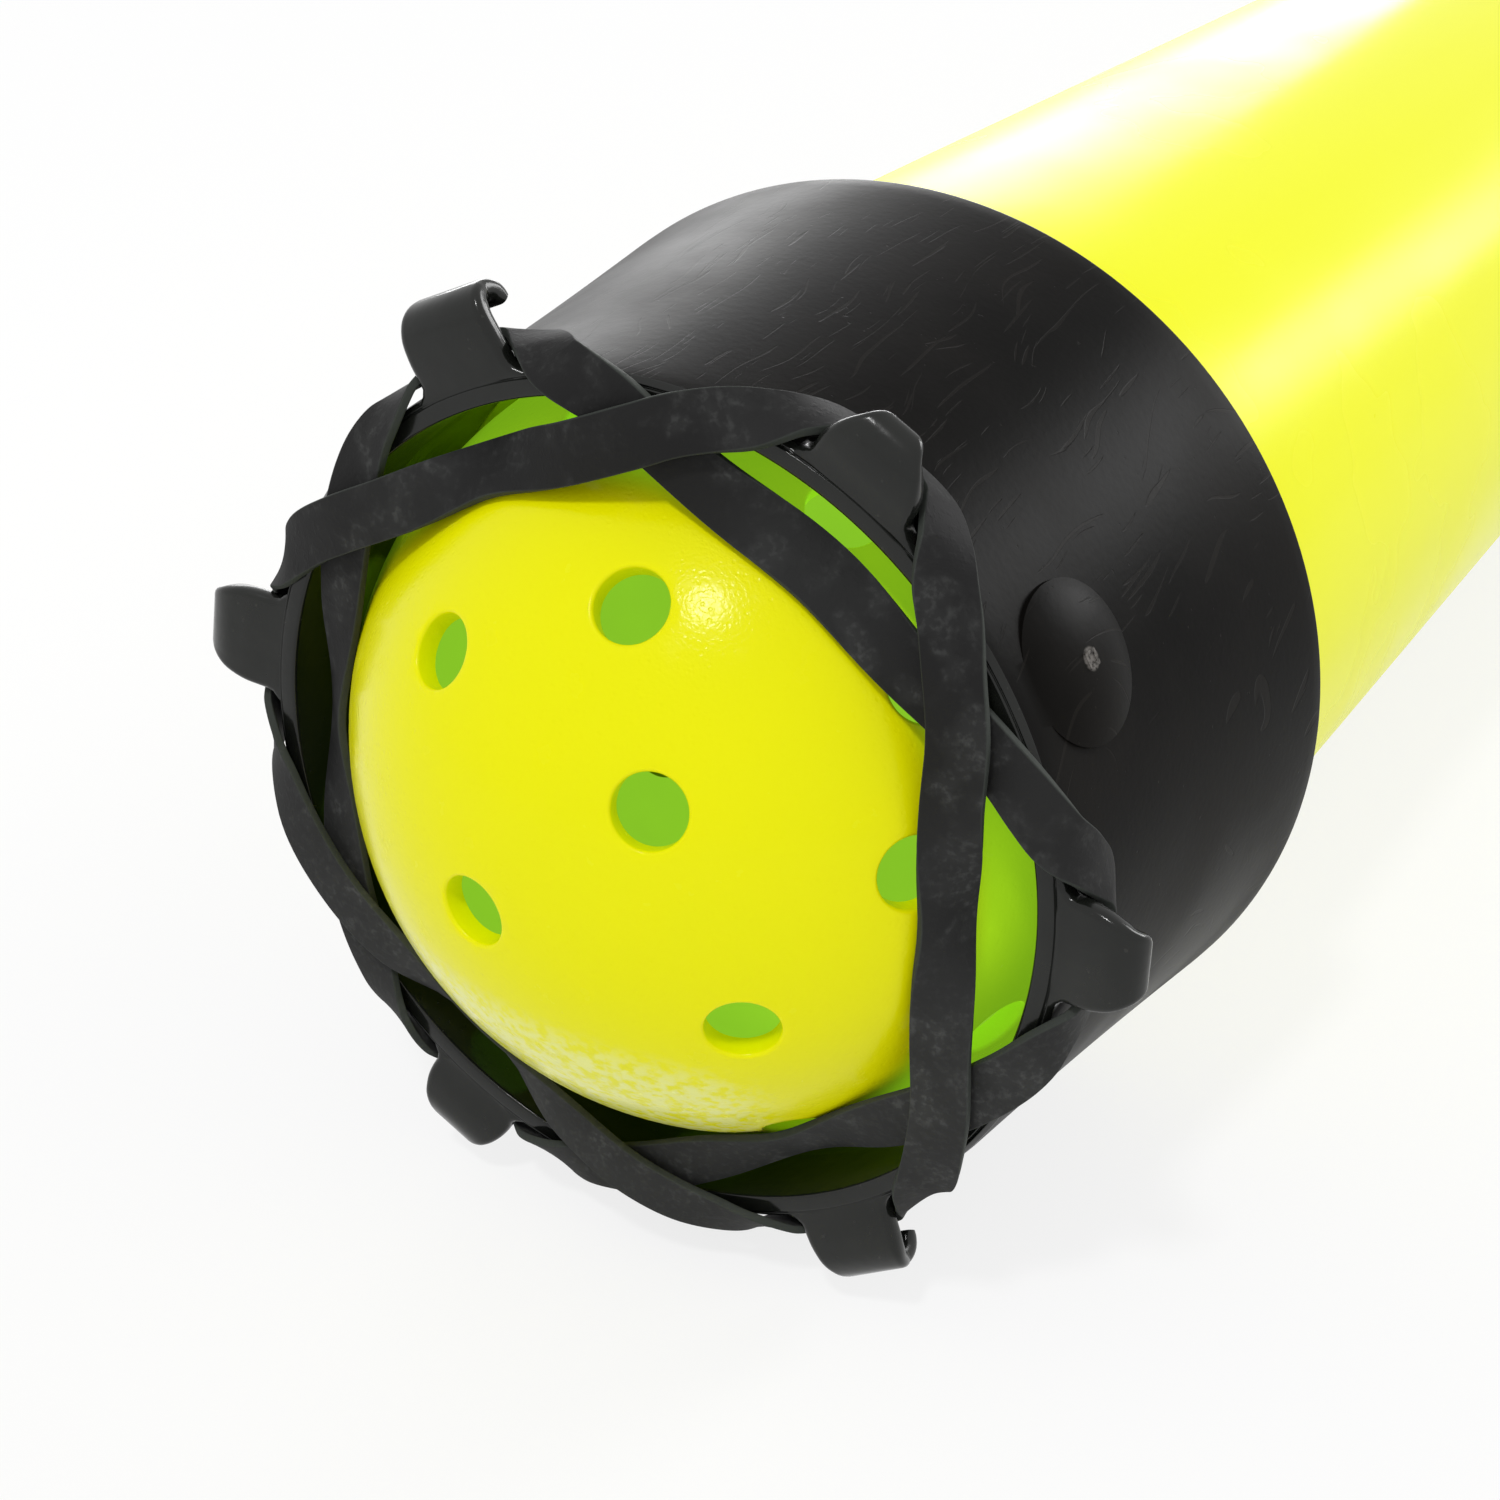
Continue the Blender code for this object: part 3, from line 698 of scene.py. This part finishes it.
def easeStation(crossing, middle, ease):
    # straight on from a crossing, at the depth that keeps the two bands apart
    share, depthShare, turnShare = ease
    point = crossing[0].lerp(middle[0], share)
    point.y = crossing[0].y + (middle[0].y - crossing[0].y) * depthShare
    return point, crossing[1].lerp(middle[1], turnShare).normalized(), crossing[2]


def crossingStation(look, first, second, crossing):
    # halfway between two hooks, nearer the axis where the hooks are further apart
    pull = (abs(second - first) / 2 - look["usualHalfGap"]) * look["wideGapPull"]
    radius, *rest = crossing
    return bandStation((first + second) / 2, radius - pull, *rest)


def bandRun(look, k, layer):
    # from the middle of hook k over the lip, across the ball and back behind hook k + 2
    angles = hookLook["angles"]
    count = len(angles)
    hooks = range(k, k + 3)
    first, passed, second = (angles[n % count] + 360.0 * (n // count) for n in hooks)
    crossing, ease = look[layer + "Crossing"], look[layer + "Ease"]
    ends = look["wrap"] + look[layer + "Lip"]
    start = crossingStation(look, first, passed, crossing)
    middle = stationOnBall(look, (first + second) / 2, *look["middles"][k])
    finish = crossingStation(look, passed, second, crossing)
    stations = [bandStation(first + offset, *rest) for offset, *rest in ends]
    stations += [start, easeStation(start, middle, ease), middle]
    stations += [easeStation(finish, middle, ease), finish]
    stations += [bandStation(second - offset, *rest) for offset, *rest in ends[:0:-1]]
    return stations


def makeBandMaterial(look, name):
    material, tree, shader = newMaterial(
        name, IOR=look["ior"], Specular_IOR_Level=look["specular"],
    )
    place = ownPlace(tree)
    clouds = noiseMask(tree, place, *look["clouds"])
    patches = noiseMask(tree, place, *look["patches"])
    grains = noiseMask(tree, place, *look["grains"])
    chalk = times(tree, patches, scaled(tree, grains, *look["patchChalk"]))
    chalk = calc(tree, "ADD", chalk, times(tree, clouds, look["cloudChalk"]))
    # the lower runs are painted paler: painted light that lifts the shade they sit in
    height = addNode(tree, "ShaderNodeSeparateXYZ", {"Vector": place}).outputs["Z"]
    low = between(tree, height, *look["paintedLiftHeights"])
    dust = times(tree, low, scaled(tree, grains, *look["paintedLiftChalk"]))
    chalk = calc(tree, "ADD", chalk, dust)
    colour = mixColours(tree, chalk, look["colour"], look["chalkColour"])
    # the cut edges are worn paler
    across = addNode(tree, "ShaderNodeAttribute", attribute_name="across").outputs["Fac"]
    worn = times(tree, between(tree, across, *look["rim"]), look["rimShare"])
    paint(tree, shader, mixColours(tree, worn, colour, look["edgeColour"]))
    roughen(tree, shader, chalk, look["chalkRoughness"], look["roughness"])
    addBump(tree, shader, scaled(tree, patches, look["patchHeight"], grains), *look["bump"])
    return material


def makeBand(look, name, node, slot, runs, layer):
    stations = []
    for k in runs:
        stations += bandRun(look, k, layer)
    points, facings, widths = zip(*stations)
    spans = lengthsBetween(points, closed=True)
    centres = []
    faces = []
    halfWidths = []
    for i in range(len(points)):
        for step in range(look["steps"]):
            t = step / look["steps"]
            centres.append(smoothCurve(points, spans, i, t, True))
            faces.append(smoothCurve(facings, spans, i, t, True))
            halfWidths.append(smoothCurve(widths, spans, i, t, True) / 2)
    count = len(centres)
    rings = []
    across = []
    for i, centre in enumerate(centres):
        along = (centres[(i + 1) % count] - centres[i - 1]).normalized()
        facing = (faces[i] - along * faces[i].dot(along)).normalized()
        aside = along.cross(facing)
        half = halfWidths[i]
        section = roundedSection(half, look["thickness"] / 2, look["edge"], look["edgeSteps"])
        rings.append([(centre + aside * a + facing * b) * mm for a, b in section])
        across += [abs(a) / half for a, b in section]
    bm = bmesh.new()
    skinRings(bm, rings, closed=True)
    band = makeThing(name, bm, sharpAngle=look["sharpAngle"])
    # how far each point is from the band's middle, for the worn edges
    band.data.attributes.new("across", "FLOAT", "POINT").data.foreach_set("value", across)
    finishPiece(band, "tube", node, slot, makeBandMaterial(look, layer + "BandRubber"))


makeBand(bandLook, "under_rubber_band", "under_band", "band_rubber", (0, 2, 4), "under")
makeBand(bandLook, "over_rubber_band", "over_band", "band_rubber_over", (1, 3, 5), "over")
print("bands made")


# ball

def aimed(aside, upward):
    turned = math.radians(aside)
    raised = math.radians(upward)
    level = math.cos(raised)
    return Vector((level * math.sin(turned), -level * math.cos(turned), math.sin(raised)))


def holeDirections(look):
    # the seen holes stay put, and the others spread out over the rest of the ball
    placed = [aimed(*spot) for spot in look["seenHoles"]]
    bare = [aimed(*spot) for spot in look["bareSpots"]]
    golden = math.pi * (3 - math.sqrt(5))
    spiral = []
    for k in range(look["spiralSpots"]):
        height = 1 - (2 * k + 1) / look["spiralSpots"]
        ring = math.sqrt(1 - height * height)
        turned = golden * k + look["spiralTurn"]
        spiral.append(Vector((ring * math.cos(turned), height, ring * math.sin(turned))))

    def room(spot):
        return min((spot - other).length for other in placed + bare)

    while len(placed) < look["holes"]:
        placed.append(max(spiral, key=room))
    for _ in range(look["spreadRounds"]):
        for i in range(len(look["seenHoles"]), look["holes"]):
            push = Vector((0, 0, 0))
            for other in placed[:i] + placed[i + 1:] + bare:
                apart = placed[i] - other
                push += apart / apart.length ** 4
            placed[i] = (placed[i] + push * look["spreadStep"]).normalized()
    return placed


def makeHoleCutters(look, place):
    # each cutter flares where it meets the ball's face, so that the hole gets a rounded rim
    radius, edge = look["holeRadius"], look["holeEdge"]
    deep, high = look["radius"] * look["cutterFrom"], look["radius"] * look["cutterTo"]
    surface = math.sqrt(look["radius"] ** 2 - (radius + edge) ** 2)
    outline = [(0, deep), (radius, deep)]
    for across, down in quarterRound(edge, look["holeEdgeSteps"]):
        outline.append((radius + across, surface - down))
    outline += [(radius + edge, high), (0, high)]
    bm = bmesh.new()
    for direction in holeDirections(look):
        cutter = turnMesh(outline, look["cutterSegments"], closed=False, upright=True)
        bmesh.ops.recalc_face_normals(cutter, faces=cutter.faces)
        turned = direction.to_track_quat("Z", "Y").to_matrix().to_4x4()
        bmesh.ops.transform(cutter, matrix=turned, verts=cutter.verts)
        scratch = bpy.data.meshes.new("cutter")
        cutter.to_mesh(scratch)
        cutter.free()
        bm.from_mesh(scratch)
        bpy.data.meshes.remove(scratch)
    return makeThing("holeShapes", bm, place)


def makeSphere(name, radius, segments, place):
    bm = bmesh.new()
    rows = segments // 2
    bmesh.ops.create_uvsphere(bm, u_segments=segments, v_segments=rows, radius=radius * mm)
    return makeThing(name, bm, place)


def makeBallMaterial(look):
    material, tree, shader = newMaterial(
        "neonBallPlastic", IOR=look["ior"], Specular_IOR_Level=look["specular"],
        Emission_Strength=1.0,
    )
    place = ownPlace(tree)
    # painted glow and painted shade: behind the bands the ball gets a green emission that stands in
    # for light, and its colour is painted towards the green of its shade
    back = zoneMask(tree, place, *look["paintedGlowBack"])
    side = zoneMask(tree, place, *look["paintedGlowSide"])
    glow = times(tree, back, scaled(tree, side, *look["paintedSideGlow"]))
    paintedGlowing = mixColours(tree, glow, (0, 0, 0), look["paintedGlowColour"])
    tree.links.new(paintedGlowing, shader.inputs["Emission Color"])
    clouds = noiseMask(tree, place, *look["clouds"])
    tint = scaled(tree, clouds, look["cloudShade"], times(tree, glow, look["paintedGlowShade"]))
    colour = mixColours(tree, tint, look["colour"], look["shadeColour"])
    # a frosty scuff along the underside of the mouth end
    below = zoneMask(tree, place, *look["frostBelow"])
    ahead = zoneMask(tree, place, *look["frostAhead"])
    crackle = noiseMask(tree, place, *look["crackle"])
    frost = times(tree, times(tree, times(tree, below, ahead), crackle), look["frostShare"])
    paint(tree, shader, mixColours(tree, frost, colour, look["frostColour"]))
    scuffs = noiseMask(tree, place, *look["scuffs"])
    roughen(tree, shader, scuffs, look["scuffRoughness"], look["roughness"])
    # fine pits, which show where the surface catches the light
    cells = addNode(tree, "ShaderNodeTexVoronoi", {
        "Vector": place, "Scale": look["pitScale"], "Randomness": 1.0,
    })
    pits = between(tree, cells.outputs["Distance"], *look["pitLevels"])
    grain = noiseMask(tree, place, *look["grain"])
    addBump(tree, shader, scaled(tree, grain, look["grainHeight"], pits), *look["bump"])
    return material


def makeInsideMaterial(look):
    material, tree, shader = newMaterial(
        "neonBallInside", Roughness=look["insideRoughness"],
        Specular_IOR_Level=look["insideSpecular"], Emission_Strength=1.0,
    )
    clouds = noiseMask(tree, ownPlace(tree), *look["insideClouds"])
    shade = times(tree, clouds, look["insideShade"])
    paint(tree, shader, mixColours(tree, shade, look["insideColour"], look["shadeColour"]))
    dim = times(tree, clouds, look["insideDim"])
    # painted glow: the inside emits light in place of the light that would come through the shell
    glow = mixColours(tree, dim, look["insidePaintedGlow"], look["insideColour"])
    tree.links.new(glow, shader.inputs["Emission Color"])
    return material


def makeBall(look):
    place = mouthPlace + Vector((0, look["depth"] * mm, 0))
    inner = look["radius"] - look["wall"]
    ball = makeSphere("neon_ball", look["radius"], look["segments"], place)
    ball.data.materials.append(makeBallMaterial(look))
    ball.data.materials.append(makeInsideMaterial(look))
    hollow = makeSphere("hollowShape", inner, look["segments"] // 2, place)
    applyShapes(ball, [(makeHoleCutters(look, place), "DIFFERENCE"), (hollow, "DIFFERENCE")])
    within = (inner + look["insideSpare"]) * mm
    for face in ball.data.polygons:
        face.material_index = 1 if face.center.length < within else 0
    return finishPiece(ball, "ball", "ball", "ball_plastic")


ball = makeBall(ballLook)
print("ball made, faces:", len(ball.data.polygons))


# end cap

capLook = {
    "radius": 43.3, "skirt": 26.0, "skirtRing": 8.0, "floor": 2.8, "edge": 1.5, "edgeSteps": 6,
    "flange": 5.0, "sides": 6, "corner": 49.0, "cornerSteps": 8,
    "flangeEdge": 0.7, "flangeEdgeSteps": 4, "segments": 160,
    "socket": 40.9, "gap": 0.3, "leadIn": 0.8,
    "colour": (0.016, 0.016, 0.017), "dustColour": (0.05, 0.05, 0.05),
    "roughness": 0.45, "ior": 1.47,
    "clouds": (80, 0.4, 0.75, 5), "cloudDust": 0.3, "cloudRoughness": 0.12,
    "grain": (1800, 0.3, 0.7, 2), "bump": (0.3, 0.0001),
}


def makeCapMaterial(look):
    material, tree, shader = newMaterial("blackCapPlastic", IOR=look["ior"])
    place = ownPlace(tree)
    clouds = noiseMask(tree, place, *look["clouds"])
    dust = times(tree, clouds, look["cloudDust"])
    paint(tree, shader, mixColours(tree, dust, look["colour"], look["dustColour"]))
    roughen(tree, shader, clouds, look["cloudRoughness"], look["roughness"])
    addBump(tree, shader, noiseMask(tree, place, *look["grain"]), *look["bump"])
    return material


def flangeOutline(look, radius, flat):
    # flat sides, one straight down, with rounded corners between them
    wide = 360 / look["sides"]
    flatEnd = math.degrees(math.acos(flat / radius))
    corner = wide - 2 * flatEnd
    steps = look["cornerSteps"]
    angles = []
    for side in range(look["sides"]):
        angles += [wide * side + flatEnd + corner * k / steps for k in range(steps + 1)]
    return [radialAt(angle) * radius for angle in angles]


def makeFlange(look):
    skirt, flat = look["skirt"], axisHeight / mm
    rounding = quarterRound(look["flangeEdge"], look["flangeEdgeSteps"])
    levels = [(down, -skirt + across) for across, down in rounding]
    levels += [(across, -skirt + look["flange"] - down) for across, down in rounding]
    rings = []
    for inset, y in levels:
        outline = flangeOutline(look, look["corner"] - inset, flat - inset)
        rings.append([(point + Vector((0, y, 0))) * mm for point in outline])
    bm = bmesh.new()
    skinRings(bm, rings)
    return makeThing("flangeShape", bm, tubeEnd)


def makeCap(look):
    radius, skirt, floor, segments = look["radius"], look["skirt"], look["floor"], look["segments"]
    outline = [(0, -skirt), (radius, -skirt), (radius, -skirt + look["skirtRing"])]
    for across, down in quarterRound(look["edge"], look["edgeSteps"]):
        outline.append((radius - across, floor - down))
    outline.append((0, floor))
    cap = makeThing("end_cap_plastic", turnMesh(outline, segments, closed=False), tubeEnd)
    socket, lead, gap = look["socket"], look["leadIn"], look["gap"]
    bore = [
        (0, gap), (socket, gap), (socket, -skirt + lead),
        (socket + 2 * lead, -skirt - lead), (0, -skirt - lead),
    ]
    boreShape = makeThing("boreShape", turnMesh(bore, segments, closed=False), tubeEnd)
    applyShapes(cap, [(makeFlange(look), "UNION"), (boreShape, "DIFFERENCE")])
    finishPiece(cap, "cap", "end_cap", "cap_plastic", makeCapMaterial(look))


makeCap(capLook)
print("end cap made")


# floor, lights and camera

stageLook = {
    "floorSize": 8.0, "floorSquares": 8, "floorDrop": 0.0002, "floorColour": (0.85, 0.85, 0.85),
    "floorRoughness": 0.9, "lift": 0.8, "worldLight": 0.70,
}
lightLook = {
    "top": {
        "place": (0.10, -1.26, 1.32), "aim": (0.0, -0.48, 0.05),
        "size": (0.16, 0.16), "power": 7.5,
    },
    "leftBack": {
        "place": (-2.32, 3.36, 1.10), "aim": (0.0, -0.45, 0.07),
        "size": (3.10, 1.35), "power": 83.0,
    },
    "rightBack": {
        "place": (2.34, 3.14, 2.04), "aim": (0.02, -0.45, 0.07),
        "size": (1.62, 1.57), "power": 74.0,
    },
    "strip": {
        "place": (1.59, 3.75, 1.12), "aim": (0.02, -0.30, 0.07),
        "size": (0.27, 0.86), "power": 11.7,
    },
}
cameraLook = {
    "place": (0.104348, -0.157580, 0.104381),  # from the mouth's centre
    "forward": (-0.4513, 0.7650, -0.4594), "up": (-0.23345, 0.39569, 0.88822),
    "lens": 59.904, "sensor": 36.0, "nearest": 0.01,
}


def seenDirectly(tree):
    # 1 where the camera sees it, itself or in a glossy or clear surface
    path = addNode(tree, "ShaderNodeLightPath")
    seen = calc(tree, "MAXIMUM", path.outputs["Is Camera Ray"], path.outputs["Is Glossy Ray"])
    return calc(tree, "MAXIMUM", seen, path.outputs["Is Transmission Ray"])


def makeFloor(look):
    bm = bmesh.new()
    squares, half = look["floorSquares"], look["floorSize"] / 2
    bmesh.ops.create_grid(bm, x_segments=squares, y_segments=squares, size=half)
    floor = makeThing("studio_floor", bm, Vector((0, 0, -look["floorDrop"])))
    material, tree, shader = newMaterial(
        "paleFloor", Roughness=look["floorRoughness"], Specular_IOR_Level=0.0,
        Base_Color=(*look["floorColour"], 1.0),
    )
    glow = addNode(tree, "ShaderNodeEmission", {"Color": (1, 1, 1, 1), "Strength": 1.0})
    share = times(tree, seenDirectly(tree), look["lift"])
    mix = addNode(tree, "ShaderNodeMixShader", {
        0: share, 1: shader.outputs[0], 2: glow.outputs[0],
    })
    tree.links.new(mix.outputs[0], tree.nodes["Material Output"].inputs["Surface"])
    floor.data.materials.append(material)


def makeWorld(look):
    world = bpy.data.worlds.new("studioWorld")
    world.use_nodes = True
    tree = world.node_tree
    background = tree.nodes["Background"]
    strength = addNode(tree, "ShaderNodeMapRange", {
        "Value": seenDirectly(tree), "To Min": look["worldLight"], "To Max": 1.0,
    })
    tree.links.new(strength.outputs[0], background.inputs["Strength"])
    background.inputs["Color"].default_value = (1, 1, 1, 1)
    bpy.context.scene.world = world


def makeLight(name, look):
    data = bpy.data.lights.new(name, "AREA")
    data.shape = "RECTANGLE"
    data.size, data.size_y = look["size"]
    data.energy = look["power"]
    light = bpy.data.objects.new(name, data)
    light.visible_camera = False
    light.location = look["place"]
    aim = Vector(look["aim"]) - Vector(look["place"])
    light.rotation_mode = "QUATERNION"
    light.rotation_quaternion = aim.to_track_quat("-Z", "Y")
    bpy.context.scene.collection.objects.link(light)


def makeCamera(look):
    data = bpy.data.cameras.new("photoCamera")
    data.lens = look["lens"]
    data.sensor_width = look["sensor"]
    data.clip_start = look["nearest"]
    camera = bpy.data.objects.new("photoCamera", data)
    bpy.context.scene.collection.objects.link(camera)
    forward = Vector(look["forward"]).normalized()
    right = forward.cross(Vector(look["up"])).normalized()
    turned = Matrix((right, right.cross(forward), -forward)).transposed().to_4x4()
    turned.translation = mouthPlace + Vector(look["place"])
    camera.matrix_world = turned
    bpy.context.scene.camera = camera


makeFloor(stageLook)
makeWorld(stageLook)
for name, look in lightLook.items():
    makeLight(name + "Light", look)
makeCamera(cameraLook)
bpy.context.scene.view_settings.view_transform = "Standard"
print("stage set")
